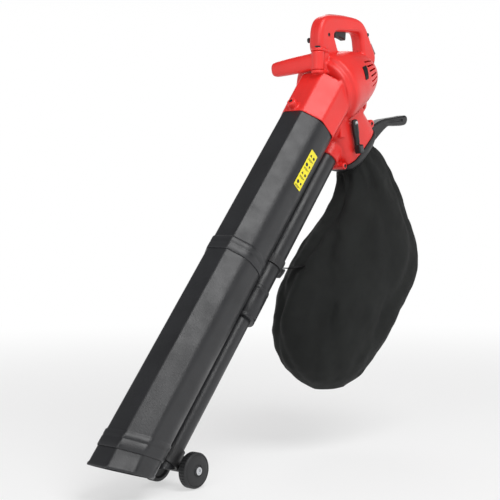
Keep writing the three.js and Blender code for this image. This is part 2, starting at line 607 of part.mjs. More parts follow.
function tubePieces() {
  const { top, low, proud } = TUBE_COLLAR;
  const inner = TUBE_R - TUBE_WALL;
  const bore = (high, deep, r = inner) => loft([octagon(r, high), octagon(r, deep)]);
  const upper = cut(
    loft([octagon(TUBE_R - 1, 14), octagon(TUBE_R - 1, -GAP), octagon(TUBE_R, -GAP - 0.2),
      octagon(TUBE_R, top),
      octagon(TUBE_R + proud, top - 2), octagon(TUBE_R + proud, low)]),
    bore(30, low - 10), loft([octagon(TUBE_R + GAP, top - 6), octagon(TUBE_R + GAP, low - 1)]));
  const lower = cut(
    loft([octagon(TUBE_R, top - 6.5), octagon(TUBE_R, BAND.top, 0.33),
      octagon(TUBE_R + proud, BAND.top - 3, 0.33),
      octagon(TUBE_R + proud, BAND.low, 0.33)]),
    bore(top + 20, BAND.low - 60));
  const nozzle = cut(
    loft([octagon(inner - GAP, BAND.low + 30, 0.33), octagon(inner - GAP, BAND.low - GAP, 0.33),
      octagon(TUBE_R, BAND.low - GAP - 0.2, 0.33), octagon(TUBE_R, TUBE_END + 6, MOUTH_SLANT),
      octagon(TUBE_R + 1, TUBE_END, MOUTH_SLANT)]),
    bore(BAND.low + 90, TUBE_END - 60, inner - GAP - TUBE_WALL));
  const blowFrame = shifted(BLOW_OFFSET);
  const c = BLOW_COLLAR;
  const blowUpper = turned([
    [BLOW_R - BLOW_WALL, 30], [BLOW_R, 30], [BLOW_R, c.top], [c.r, c.top - 3], [c.r, c.low],
    [BLOW_LOW_R + GAP, c.low], [BLOW_LOW_R + GAP, c.top - 20], [BLOW_R - BLOW_WALL, c.top],
    [BLOW_R - BLOW_WALL, 30],
  ], blowFrame, 32);
  const blowLower = cut(pipe(BLOW_LOW_R - BLOW_WALL, BLOW_LOW_R, BLOW_END - 20, c.top - 21, blowFrame, 28),
    box([-60, -40, -30], [60, 40, 0], frameAt({ x: BLOW_OFFSET, z: BLOW_END }, -35)));
  return [
    mesh('tube_upper', upper, tubeBlack),
    mesh('tube_lower', lower, tubeBlack),
    mesh('nozzle', nozzle, tubeBlack),
    mesh('blow_tube_upper', blowUpper, tubeBlack),
    mesh('blow_tube_lower', blowLower, tubeBlack),
    mesh('bag_clip', bagClip(), black),
    mesh('tube_label', box([-13, -0.8, -50], [13, -0.2, 50],
      new THREE.Matrix4().makeTranslation(0, -TUBE_R * Math.cos(rad(22.5)) - 0.2, -122)), yellow),
  ];
}

/** Split ring with a hook, clipped round the upper blow tube for the bag's strap. */
function bagClip() {
  const frame = new THREE.Matrix4().makeTranslation(BLOW_OFFSET, 0, -303);
  const ring = pipe(BLOW_R + GAP, BLOW_R + 3.2, -12, 12, frame, 32);
  const hook = slab([[27, -12], [40, -12], [44, 4], [44, 14], [39, 14], [37, -2], [27, 0]], 14, { round: 1.5, frame });
  return cut(join(ring, hook), box([-40, -14, -20], [-10, 14, 20], frame));
}

// ---------- wheels ----------
const axleAt = { x: BLOW_OFFSET + AXLE_BELOW_BLOW_TUBE, z: AXLE_STATION };

function wheelPieces() {
  const { x, z } = axleAt;
  const boss = join(crossPin(x, z, 9, -36, 36, 28),
    slab([[BLOW_OFFSET - 6, -776], [x + 3, -782], [x + 8, z], [x - 2, z - 8], [BLOW_OFFSET - 6, -814]], 30,
      { round: 3 }),
    disc(BLOW_LOW_R + 4.2, -814, -776, shifted(BLOW_OFFSET), 32));
  const bracket = cut(boss, disc(BLOW_LOW_R + GAP, -830, -760, shifted(BLOW_OFFSET), 32),
    crossPin(x, z, AXLE_R + GAP, -50, 50, 24));
  const pieces = [
    mesh('wheel_bracket', bracket, black),
    mesh('wheel_axle', crossPin(x, z, AXLE_R, -64, 64, 24), steel),
  ];
  for (const [side, sign] of [['left', -1], ['right', 1]]) {
    const centre = (sign * WHEEL_TRACK) / 2;
    pieces.push(mesh(`wheel_${side}`, wheel(x, z, centre, sign), softBlack));
    const capLow = sign > 0 ? centre + WHEEL_WIDTH / 2 + GAP : centre - WHEEL_WIDTH / 2 - GAP - 3;
    pieces.push(mesh(`wheel_cap_${side}`, cut(crossPin(x, z, 8, capLow, capLow + 3, 24),
      crossPin(x, z, AXLE_R + 0.3, -70, 70, 16)), steel));
  }
  return pieces;
}

/** One wheel: ribbed tread, domed outer face and a bored hub. */
function wheel(x, z, centre, sign) {
  const half = WHEEL_WIDTH / 2;
  const frame = new THREE.Matrix4().makeRotationX((sign * -Math.PI) / 2).setPosition(x, centre, z);
  const body = turned([
    [AXLE_R + GAP, -half], [13, -half], [15, -half + 5], [27, -half + 5], [29, -half], [34, -half],
    [WHEEL_R, -half + 3], [WHEEL_R, half - 5], [32, half - 1.5], [24, half], [AXLE_R + GAP, half],
    [AXLE_R + GAP, -half],
  ], frame, 22);
  const ribs = [];
  for (let i = 0; i < 12; i += 1) {
    const turn = placed(frame, new THREE.Matrix4().makeRotationZ(rad(i * 30 + 15)));
    ribs.push(box([WHEEL_R - 1.6, -1.4, -half - 1], [WHEEL_R + 2, 1.4, half - 6], turn));
  }
  return cut(body, ...ribs);
}

// ---------- bag ----------
function bagAdapter() {
  const { x, y } = PORT_HALF;
  const collar = loft([oval(x + 2, y + 2, GAP, { power: 4 }), oval(x + 2, y + 2, 12, { power: 4 }),
    oval(x - 6, y - 4, 22, { power: 3 })]);
  const sleeve = loft([-16, 6].map((z) => oval(x - WALL - 2.5, y - WALL - 2.5, z, { power: 4 })));
  const tab = slab([[84, -246], [112, -224], [140, -213], [160, -207], [236, -196], [258, -192],
    [264, -202], [258, -216], [236, -220], [180, -222], [156, -236], [112, -268]], 30,
    { round: [2, 8, 8, 8, 10, 8, 8, 8, 10, 12, 10, 4], bevel: 4 });
  const frame = portFrame;
  const ring = join(collar, sleeve).transform(Array.from(frame.elements));
  const tabRoom = loft([-60, 10].map((z) => oval(x + 1, y + 1, z, { power: 4 })), frame);
  const bore = loft([oval(x - 9, y - 9, -60, { power: 4 }), oval(x - 9, y - 9, 12, { power: 4 }),
    oval(x - 12, y - 10, 60, { power: 3 })], frame);
  return cut(join(ring, cut(tab, tabRoom)), bore);
}

/** Bag sections from neck to bottom: centre x and z, half lengths along X and Y, and tilt. */
const BAG_SECTIONS = [
  { x: 50, z: -298, a: 60, b: 38, tilt: -41.35 },
  { x: 72, z: -332, a: 80, b: 50, tilt: -33 },
  { x: 88, z: -386, a: 108, b: 62, tilt: -16 },
  { x: 84, z: -450, a: 154, b: 82, tilt: -7 },
  { x: 70, z: -520, a: 202, b: 100, tilt: -2 },
  { x: 40, z: -588, a: 219, b: 110, tilt: 0 },
  { x: 4, z: -645, a: 210, b: 110, tilt: 0 },
  { x: -24, z: -705, a: 192, b: 102, tilt: 0 },
  { x: -44, z: -765, a: 152, b: 86, tilt: 0 },
  { x: -46, z: -812, a: 100, b: 60, tilt: 0 },
  { x: -46, z: -838, a: 50, b: 30, tilt: 0 },
];

function bagPieces() {
  const skin = (inset) => BAG_SECTIONS.map(({ x, z, a, b, tilt }) =>
    oval(a - inset, b - inset, z, { shift: x, count: 24, tilt: -tilt, power: 2.2 }));
  const inside = skin(3.5);
  inside[0] = oval(56, 34, BAG_SECTIONS[0].z + 12,
    { shift: BAG_SECTIONS[0].x - 11, count: 24, tilt: 41.35, power: 2.2 });
  inside[inside.length - 1].forEach((p) => { p.z += 3.5; });
  const strap = slab([[-162, -549], [-214, -552], [-214, -556], [-162, -553]], 18);
  return [
    mesh('bag_adapter', bagAdapter(), black),
    mesh('bag', cut(loft(skin(0)), loft(inside)), bagCloth),
    mesh('bag_strap', strap, softBlack),
    mesh('zip_slider', box([18, 110.6, -593], [28, 115.6, -575]), darkSteel),
  ];
}

// ---------- assembly ----------
const blower = new THREE.Group();
const wand = new THREE.Group();
wand.position.set(JOINT.x, 0, JOINT.z);
wand.rotation.y = rad(TUBE_LEAN);
wand.add(...tubePieces(), ...wheelPieces());
blower.add(...housingHalves(), ...housingFittings(), ...controlPieces(), ...motorPieces(), wand, ...bagPieces());

export default blower;
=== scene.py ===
"""Leaf blower: camera, light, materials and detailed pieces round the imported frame."""
import json
import math

import bmesh
import bpy
from mathutils import Matrix, Vector, noise

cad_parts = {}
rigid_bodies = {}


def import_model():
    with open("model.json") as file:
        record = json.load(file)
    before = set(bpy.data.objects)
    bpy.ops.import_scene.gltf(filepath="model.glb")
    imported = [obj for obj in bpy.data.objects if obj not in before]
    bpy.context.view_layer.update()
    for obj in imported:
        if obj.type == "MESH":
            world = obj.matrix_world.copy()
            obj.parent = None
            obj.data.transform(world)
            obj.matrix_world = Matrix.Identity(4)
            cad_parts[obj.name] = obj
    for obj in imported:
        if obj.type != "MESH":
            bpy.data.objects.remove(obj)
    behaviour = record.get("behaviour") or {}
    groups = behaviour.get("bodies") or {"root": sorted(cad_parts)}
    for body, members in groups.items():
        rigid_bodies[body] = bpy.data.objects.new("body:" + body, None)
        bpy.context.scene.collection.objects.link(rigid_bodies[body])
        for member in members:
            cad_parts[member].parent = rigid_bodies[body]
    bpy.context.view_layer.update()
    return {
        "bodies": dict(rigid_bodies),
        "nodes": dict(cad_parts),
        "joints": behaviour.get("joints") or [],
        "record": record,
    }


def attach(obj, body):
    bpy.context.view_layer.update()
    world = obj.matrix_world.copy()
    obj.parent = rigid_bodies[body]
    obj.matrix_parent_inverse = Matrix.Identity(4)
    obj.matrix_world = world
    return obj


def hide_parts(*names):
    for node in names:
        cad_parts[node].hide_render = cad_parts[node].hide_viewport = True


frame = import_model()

MM = 0.001
FLOOR_Z = -0.977           # metres, just under the wheels
FLOOR_HALF = 30            # metres
rad = math.radians


# ---------- frames of the CAD, in millimetres ----------
def frame_at(x, z, turn):
    return Matrix.Translation((x, 0, z)) @ Matrix.Rotation(rad(turn), 4, "Y")


WORLD = Matrix()
TUBE_LEAN = 40.47          # degrees
TUBE_R = 67                # corner radius of the wide tube
BLOW_OFFSET = 98           # from the wide tube's axis to the slim tube's
WAND = frame_at(-138, -247, TUBE_LEAN)
MOTOR = frame_at(-56, -152, 70)
PORT = frame_at(34, -280, 138.65)
PORT_X, PORT_Y = 68, 46    # half lengths of the bag port
INLET = frame_at(112, -44, 52)
BLOW = WAND @ Matrix.Translation((BLOW_OFFSET, 0, 0))
LUG = WAND @ Matrix.Translation((0, 0, 13)) @ Matrix.Rotation(rad(-90), 4, "Y")
HUB = Vector((-118, -20, -92))       # pivot of the side handle
PIVOT = Vector((-22, 0, -228))       # pivot of the mode lever


# ---------- camera, light and floor ----------
def camera():
    cam = bpy.data.objects.new("camera", bpy.data.cameras.new("camera"))
    cam.location = (-2.350, -1.694, -0.411)
    cam.rotation_euler = Vector((0.7655, 0.6423, -0.0380)).to_track_quat("-Z", "Y").to_euler()
    cam.data.lens = 88.8
    cam.data.sensor_width = 36
    cam.data.clip_end = 60
    bpy.context.collection.objects.link(cam)
    bpy.context.scene.camera = cam


def area_light(name, where, aim, size, power):
    light = bpy.data.lights.new(name, "AREA")
    light.shape, light.size, light.energy = "DISK", size, power
    lamp = bpy.data.objects.new(name, light)
    lamp.location = where
    lamp.rotation_euler = (Vector(aim) - Vector(where)).to_track_quat("-Z", "Y").to_euler()
    bpy.context.collection.objects.link(lamp)


def faded(nodes, links, value, start, end, low, high):
    """A smooth change from low to high as the value goes from start to end."""
    fade = nodes.new("ShaderNodeMapRange")
    fade.interpolation_type = "SMOOTHSTEP"
    fade.inputs["From Min"].default_value, fade.inputs["From Max"].default_value = start, end
    fade.inputs["To Min"].default_value, fade.inputs["To Max"].default_value = low, high
    links.new(value, fade.inputs["Value"])
    return fade.outputs["Result"]


def studio():
    """White light from low down and a dimmer top, so that upper faces keep their contrast."""
    world = bpy.data.worlds.new("studio")
    bpy.context.scene.world = world
    world.use_nodes = True
    nodes, links = world.node_tree.nodes, world.node_tree.links
    direction = nodes.new("ShaderNodeSeparateXYZ")
    links.new(nodes.new("ShaderNodeTexCoord").outputs["Generated"], direction.inputs["Vector"])
    strength = faded(nodes, links, direction.outputs["Z"], 0.14, 0.55, 1.0, 0.22)
    links.new(strength, nodes["Background"].inputs["Strength"])
    nodes["Background"].inputs["Color"].default_value = (1, 1, 1, 1)
    middle = (-0.2, 0.0, -0.45)
    area_light("key", (-0.8, -2.0, 2.2), middle, 2.6, 80)
    area_light("fill", (-2.6, -0.6, 0.9), middle, 1.6, 12)
    area_light("rim", (1.8, 1.6, 1.6), middle, 1.4, 14)
    bpy.context.scene.view_settings.view_transform = "Standard"
    floor = bpy.data.meshes.new("floor")
    corners = ((-1, -1), (1, -1), (1, 1), (-1, 1))
    floor.from_pydata([(x * FLOOR_HALF, y * FLOOR_HALF, FLOOR_Z) for x, y in corners], [], [(0, 1, 2, 3)])
    plane = bpy.data.objects.new("floor", floor)
    bpy.context.collection.objects.link(plane)
    floor.materials.append(floor_paper())


def floor_paper():
    """White paper that glows more with distance, so that its edge is lost in the white background."""
    paper = bpy.data.materials.new("floor_paper")
    paper.use_nodes = True
    nodes, links = paper.node_tree.nodes, paper.node_tree.links
    surface = nodes["Principled BSDF"]
    surface.inputs["Base Color"].default_value = (0.9, 0.9, 0.9, 1)
    surface.inputs["Roughness"].default_value = 0.9
    distance = nodes.new("ShaderNodeVectorMath")
    distance.operation = "LENGTH"
    links.new(nodes.new("ShaderNodeTexCoord").outputs["Object"], distance.inputs[0])
    share = faded(nodes, links, distance.outputs["Value"], 1.0, 3.2, 0.55, 1.0)
    glow = nodes.new("ShaderNodeEmission")
    glow.inputs["Color"].default_value = (1, 1, 1, 1)
    glow.inputs["Strength"].default_value = 1.0
    mix = nodes.new("ShaderNodeMixShader")
    links.new(share, mix.inputs["Fac"])
    links.new(surface.outputs["BSDF"], mix.inputs[1])
    links.new(glow.outputs["Emission"], mix.inputs[2])
    links.new(mix.outputs["Shader"], nodes["Material Output"].inputs["Surface"])
    return paper


# ---------- materials ----------
def material(name, colour, rough, metal=0.0, vary=0.0, grain=None, patches=0.0, scratches=None,
             weave=None, edge_wear_and_highlight=0.0, specular=0.5):
    """Procedural material: colour varied by `vary`, and lighter on its edges by `edge_wear_and_highlight`,
    which is partly edge wear and partly a painted edge highlight; roughness by `patches`, fine bump from grain
    (scale, height), long marks from scratches (scale vector, strength), thread bump from weave (threads per
    metre, height)."""
    mat = bpy.data.materials.new(name)
    mat.use_nodes = True
    nodes, links = mat.node_tree.nodes, mat.node_tree.links
    shader = nodes["Principled BSDF"]
    shader.inputs["Base Color"].default_value = (*colour, 1)
    shader.inputs["Roughness"].default_value = rough
    shader.inputs["Metallic"].default_value = metal
    shader.inputs["Specular IOR Level"].default_value = specular
    place = nodes.new("ShaderNodeTexCoord").outputs["Object"]

    def speckle(scale, detail=3.0, stretch=None):
        tex = nodes.new("ShaderNodeTexNoise")
        tex.inputs["Scale"].default_value = scale
        tex.inputs["Detail"].default_value = detail
        source = place
        if stretch:
            turn = nodes.new("ShaderNodeMapping")
            turn.inputs["Rotation"].default_value = (0, rad(-TUBE_LEAN), 0)
            turn.vector_type = "TEXTURE"
            links.new(source, turn.inputs["Vector"])
            squeeze = nodes.new("ShaderNodeMapping")
            squeeze.inputs["Scale"].default_value = stretch
            links.new(turn.outputs["Vector"], squeeze.inputs["Vector"])
            source = squeeze.outputs["Vector"]
        links.new(source, tex.inputs["Vector"])
        return tex.outputs["Fac"]

    def ramp(value, low, high, start=0.3, end=0.7):
        step = nodes.new("ShaderNodeMapRange")
        step.inputs["From Min"].default_value, step.inputs["From Max"].default_value = start, end
        step.inputs["To Min"].default_value, step.inputs["To Max"].default_value = low, high
        links.new(value, step.inputs["Value"])
        return step.outputs["Result"]

    def blended(factor, first, second):
        mix = nodes.new("ShaderNodeMix")
        mix.data_type = "RGBA"
        links.new(factor, mix.inputs["Factor"])
        for socket, tint in ((mix.inputs["A"], first), (mix.inputs["B"], second)):
            if isinstance(tint, tuple):
                socket.default_value = (*tint, 1)
            else:
                links.new(tint, socket)
        return mix.outputs["Result"]

    tone = None
    if vary:
        darker = tuple(c * (1 - vary) for c in colour)
        lighter = tuple(min(1.0, c * (1 + vary)) for c in colour)
        tone = blended(ramp(speckle(14), 0, 1), darker, lighter)
    # Lighter convex edges: partly rubbed wear, partly a painted edge highlight.
    if edge_wear_and_highlight:
        edge = nodes.new("ShaderNodeNewGeometry").outputs["Pointiness"]
        lighter = tuple(min(1.0, c * 1.5 + 0.02) for c in colour)
        tone = blended(ramp(edge, 0, edge_wear_and_highlight, 0.52, 0.62), tone or colour, lighter)
    if tone:
        links.new(tone, shader.inputs["Base Color"])
    if patches:
        links.new(ramp(speckle(30), rough - patches, rough + patches), shader.inputs["Roughness"])
    bumps = []
    if grain:
        bumps.append((speckle(grain[0], 2), grain[1]))
    if scratches:
        bumps.append((speckle(1.0, 4, scratches[0]), scratches[1]))
    if weave:
        for axis in ("X", "Z"):
            thread = nodes.new("ShaderNodeTexWave")
            thread.bands_direction = axis
            thread.inputs["Scale"].default_value = weave[0] / 3.2
            thread.inputs["Distortion"].default_value = 0.4
            links.new(place, thread.inputs["Vector"])
            bumps.append((thread.outputs["Fac"], weave[1]))
    surface = None
    for height, strength in bumps:
        bump = nodes.new("ShaderNodeBump")
        bump.inputs["Strength"].default_value = strength
        bump.inputs["Distance"].default_value = 0.001
        links.new(height, bump.inputs["Height"])
        if surface:
            links.new(surface, bump.inputs["Normal"])
        surface = bump.outputs["Normal"]
    if surface:
        links.new(surface, shader.inputs["Normal"])
    return mat


camera()
studio()
RED = material("red_plastic", (0.72, 0.024, 0.020), 0.36, vary=0.06, patches=0.05, grain=(2600, 0.10),
               edge_wear_and_highlight=0.4)
RED_GRIP = material("red_grip_texture", (0.66, 0.022, 0.018), 0.48, vary=0.08, grain=(900, 0.5))
TUBE = material("tube_plastic", (0.014, 0.0145, 0.0165), 0.38, vary=0.18, patches=0.07, grain=(1800, 0.10),
                scratches=((260, 260, 6), 0.22), edge_wear_and_highlight=0.5)
BLACK = material("black_plastic", (0.008, 0.008, 0.009), 0.46, vary=0.15, patches=0.06, grain=(2200, 0.2),
                 edge_wear_and_highlight=0.5)
SOFT = material("soft_black", (0.011, 0.011, 0.012), 0.72, vary=0.2, grain=(1500, 0.35))
WHEEL = material("wheel_plastic", (0.014, 0.0145, 0.016), 0.55, vary=0.2, patches=0.08, grain=(1300, 0.3),
                 edge_wear_and_highlight=0.7)
CLOTH = material("bag_cloth", (0.0075, 0.0085, 0.0080), 0.8, vary=0.3, grain=(420, 0.15), weave=(1400, 0.25),
                 specular=0.3)
WEBBING = material("webbing", (0.006, 0.006, 0.0065), 0.85, vary=0.2, weave=(700, 0.6), specular=0.15)
STEEL = material("steel", (0.60, 0.61, 0.63), 0.28, metal=1.0, patches=0.08, scratches=((900, 900, 60), 0.08))
DARK_STEEL = material("dark_steel", (0.20, 0.20, 0.21), 0.38, metal=1.0, patches=0.08, grain=(900, 0.1))
COPPER = material("copper", (0.72, 0.33, 0.16), 0.3, metal=1.0, vary=0.1, patches=0.06, grain=(1200, 0.3))
CARBON = material("carbon", (0.03, 0.03, 0.03), 0.7, vary=0.3, grain=(1600, 0.3))
FILM = material("yellow_film", (0.75, 0.58, 0.05), 0.3, vary=0.05, patches=0.05, grain=(300, 0.1))
LABEL = material("label_film", (0.86, 0.74, 0.015), 0.34, vary=0.04, patches=0.04, grain=(700, 0.05))
INK = material("label_ink", (0.012, 0.012, 0.012), 0.42, vary=0.1, grain=(900, 0.1))
# Grey for the painted highlight on the mode lever's knob.
HIGHLIGHT_GREY = material("painted_highlight_grey", (0.055, 0.056, 0.060), 0.5, vary=0.2, patches=0.08, grain=(1500, 0.3))
SCREW = material("screw_steel", (0.018, 0.018, 0.019), 0.42, metal=0.5)
BADGE = material("badge_film", (0.004, 0.004, 0.0045), 0.5, specular=0.2)
SLOTS = {"red": RED, "tube_plastic": TUBE, "black": BLACK, "soft_black": SOFT, "wheel_rubber": WHEEL,
         "bag_cloth": CLOTH, "steel": STEEL, "dark_steel": DARK_STEEL, "copper": COPPER, "carbon": CARBON,
         "yellow_film": FILM, "label": LABEL}


# ---------- mesh helpers (inputs in millimetres) ----------
def made(name, points, faces, frame=WORLD):
    mesh = bpy.data.meshes.new(name)
    mesh.from_pydata([(frame @ Vector(p)) * MM for p in points], [], faces)
    work = bmesh.new()
    work.from_mesh(mesh)
    bmesh.ops.recalc_face_normals(work, faces=work.faces)
    work.to_mesh(mesh)
    work.free()
    obj = bpy.data.objects.new(name, mesh)
    bpy.context.collection.objects.link(obj)
    return obj


def loft(name, rings, frame=WORLD, loop=False, open_ends=False):
    """Skin through rings of equal counts; loop joins the last ring to the first, as in a hollow tube."""
    count = len(rings[0])
    faces = []
    for k in range(len(rings) - (0 if loop else 1)):
        a, b = k * count, ((k + 1) % len(rings)) * count
        faces += [(a + i, a + (i + 1) % count, b + (i + 1) % count, b + i) for i in range(count)]
    if not loop and not open_ends:
        faces += [tuple(range(count)), tuple((len(rings) - 1) * count + i for i in range(count))]
    return made(name, [p for ring in rings for p in ring], faces, frame)


def circle(r, z, count=96):
    turns = [2 * math.pi * i / count for i in range(count)]
    return [(r * math.cos(a), r * math.sin(a), z) for a in turns]


def lathe(name, profile, frame=WORLD, count=96, loop=False):
    return loft(name, [circle(max(r, 0.05), z, count) for r, z in profile], frame, loop)


def smooth_profile(points, steps=4):
    """The profile through the same points as a smooth curve."""
    out = []
    for i in range(len(points) - 1):
        p0, p1, p2, p3 = (Vector(points[min(max(j, 0), len(points) - 1)]) for j in (i - 1, i, i + 1, i + 2))
        for s in range(steps):
            t = s / steps
            out.append(tuple(0.5 * ((2 * p1) + (p2 - p0) * t + (2 * p0 - 5 * p1 + 4 * p2 - p3) * t * t
                                    + (3 * p1 - p0 - 3 * p2 + p3) * t ** 3)))
    return out + [tuple(points[-1])]


def octagon(r, z, slant=0.0, roundings=(14.0,) * 8, steps=7):
    """Eight-sided ring of corner radius r, with one rounding for each corner."""
    points = []
    for k, rounding in enumerate(roundings):
        pull = r - rounding / math.cos(rad(22.5))
        middle = rad(22.5 + 45 * k)
        for s in range(steps + 1):
            angle = middle + rad(-22.5 + 45 * s / steps)
            x = pull * math.cos(middle) + rounding * math.cos(angle)
            y = pull * math.sin(middle) + rounding * math.sin(angle)
            points.append((x, y, z + slant * x))
    return points


def oval(half_x, half_y, z, power, count=96):
    """Ring between an ellipse and a rectangle: the higher the power, the squarer it is."""
    points = []
    for i in range(count):
        a = 2 * math.pi * (i + 0.5) / count
        x = half_x * math.copysign(abs(math.cos(a)) ** (2 / power), math.cos(a))
        y = half_y * math.copysign(abs(math.sin(a)) ** (2 / power), math.sin(a))
        points.append((x, y, z))
    return points


def rounded(outline, radii, steps=6):
    """Side-view outline with its corners rounded."""
    out = []
    n = len(outline)
    for i, corner in enumerate(outline):
        here = Vector(corner)
        before, after = Vector(outline[i - 1]), Vector(outline[(i + 1) % n])
        r = radii[i] if isinstance(radii, (list, tuple)) else radii
        a = here + (before - here).normalized() * min(r, (before - here).length / 2.01)
        b = here + (after - here).normalized() * min(r, (after - here).length / 2.01)
        for s in range(steps + 1):
            t = s / steps
            out.append((1 - t) ** 2 * a + 2 * t * (1 - t) * here + t * t * b)
    return out


def inset(outline, amount):
    area = sum(outline[i - 1][0] * p[1] - p[0] * outline[i - 1][1] for i, p in enumerate(outline))
    inward = amount if area > 0 else -amount
    out = []
    for i, p in enumerate(outline):
        here, before, after = Vector(p), Vector(outline[i - 1]), Vector(outline[(i + 1) % len(outline)])
        enter, leave = (here - before).normalized(), (after - here).normalized()
        bend = 1 + enter.dot(leave)
        out.append((here.x - inward * (enter.y + leave.y) / bend,
                    here.y + inward * (enter.x + leave.x) / bend))
    return out


def slab(name, outline, width, radii=0.0, edge=0.0, middle=0.0, frame=WORLD, flare=False, steps=5):
    """Side-view outline `width` thick across Y; its rims are rounded by `edge`, or flared outwards."""
    half = width / 2
    stations = [(edge * (1 - math.sin(rad(a))), half - edge * (1 - math.cos(rad(a))))
                for a in [90 * s / steps for s in range(steps + 1)]] if edge else [(0.0, half)]
    levels = [(d, -y) for d, y in stations] + [(d, y) for d, y in reversed(stations)]
    rings = []
    for depth, y in levels:
        shape = rounded(inset(outline, -depth if flare else depth), radii)
        rings.append([(p.x, middle + y, p.y) for p in shape])
    return loft(name, rings, frame)


def pin(name, x, z, r, low, high, count=48):
    frame = Matrix.Translation((x, 0, z)) @ Matrix.Rotation(rad(-90), 4, "X")
    return lathe(name, [(r, low), (r, high)], frame, count)


def upright(name, at, r, low, high, count=64):
    return lathe(name, [(r, low), (r, high)], Matrix.Translation((at.x, at.y, 0)), count)


def block(name, low, high, frame=WORLD):
    points = [(x, y, z) for z in (low[2], high[2]) for y in (low[1], high[1]) for x in (low[0], high[0])]
    faces = [(0, 2, 3, 1), (4, 5, 7, 6), (0, 1, 5, 4), (2, 6, 7, 3), (0, 4, 6, 2), (1, 3, 7, 5)]
    return made(name, points, faces, frame)


def applied(obj):
    """Bakes the object's modifiers into its mesh."""
    graph = bpy.context.evaluated_depsgraph_get()
    mesh = bpy.data.meshes.new_from_object(obj.evaluated_get(graph))
    obj.modifiers.clear()
    obj.data = mesh
    return obj


def discard(objs):
    for obj in objs:
        bpy.data.objects.remove(obj)


def combined(target, others, operation="UNION"):
    for other in others:
        step = target.modifiers.new(operation, "BOOLEAN")
        step.operation, step.solver, step.object = operation, "MANIFOLD", other
    applied(target)
    discard(others)
    return target


def carve(target, cutters):
    return combined(target, [combined(cutters[0], cutters[1:])], "DIFFERENCE")


def moulded(name, parts, voxel, passes):
    """One skin round all the parts, with soft inside corners as in a moulding."""
    work = bmesh.new()
    for part in parts:
        work.from_mesh(part.data)
    mesh = bpy.data.meshes.new(name)
    work.to_mesh(mesh)
    work.free()
    discard(parts)
    obj = bpy.data.objects.new(name, mesh)
    bpy.context.collection.objects.link(obj)
    skin = obj.modifiers.new("skin", "REMESH")
    skin.mode, skin.voxel_size = "VOXEL", voxel * MM
    ease = obj.modifiers.new("ease", "SMOOTH")
    ease.factor, ease.iterations = 0.5, passes
    return applied(obj)


def finished(obj, body, mat, replaced=(), angle=35.0):
    obj.data.materials.clear()
    obj.data.materials.append(mat)
    for face in obj.data.polygons:
        face.use_smooth = True
    obj.data.set_sharp_from_angle(angle=rad(angle))
    if replaced:
        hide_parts(*replaced)
    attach(obj, body)
    return obj


# ---------- housing ----------
HANDLE = [(-84, -94), (-106, -60), (-103, -6), (-78, 18), (0, 24), (58, 22), (82, 4), (98, -24), (122, -58),
          (112, -98), (0, -104)]
HANDLE_RADII = [4, 10, 24, 26, 30, 24, 22, 16, 10, 6, 4]
WINDOW = [(-33, -62), (66, -60), (60, -22), (52, -10), (-40, -17), (-50, -26)]
PORT_WALL = 4.5
SPLIT_GAP = 0.175          # from the middle plane to each half's edge
REACH = 600                # past every side of the housing
SCREWS = [(-72, -28, 18), (84, -12, 18), (-29.9, -325.5, 34), (83.7, -222.9, 30), (104, -78, 18)]
DOME = [(0.1, -20), (66, -20), (72, -18.5), (74.5, -14), (75.5, -8), (79, -5.5), (83, -3), (84, 2), (84, 12),
        (80, 38), (73, 74), (64, 107), (53, 134), (42, 152), (28, 161.5), (12, 163), (0.1, 163)]


def housing_outside():
    handle = combined(slab("handle", HANDLE, 36, HANDLE_RADII, 11),
                      [slab("window", WINDOW, 37, 9, 9, flare=True)], "DIFFERENCE")
    ears = []
    for low, high in ((-70, -63), (-119, -112)):
        ears += [upright("ear", HUB, 15, low, high),
                 block("ear_root", (HUB.x, HUB.y - 10, low), (-88, HUB.y + 10, high))]
    parts = [
        lathe("dome", smooth_profile(DOME), MOTOR, 128),
        loft("duct", [octagon(68.5, 0.5), octagon(69.6, 40), octagon(70.6, 118)], WAND),
        loft("flow_box", [oval(56, 42, -112, 4), oval(63, 45, -70, 4), oval(PORT_X, PORT_Y, -20, 4),
                          oval(PORT_X, PORT_Y, 0, 4)], PORT),
        block("throat", (-60, -43, -262), (30, 43, -190)),
        lathe("socket", [(30.5, 0.5), (30.5, 62), (0.1, 84)], BLOW),
        slab("neck", [(-30, -215), (40, -205), (58, -186), (58, -150), (-10, -120)], 72, 6, 8),
        handle,
        pin("lobe_low", -29.9, -325.5, 8, -34, 34), pin("lobe_high", 83.7, -222.9, 10, -30, 30),
        slab("rib", [(-101, -64), (-84, -60), (-84, -152), (-108, -138), (-110, -120), (-101, -112)],
             14, 2, 2, middle=HUB.y),
        *ears,
        lathe("lug", [(0.1, 56), (11, 56), (11, 79), (8, 81), (0.1, 81)], LUG),
    ]
    return moulded("housing", parts, 1.8, 5)


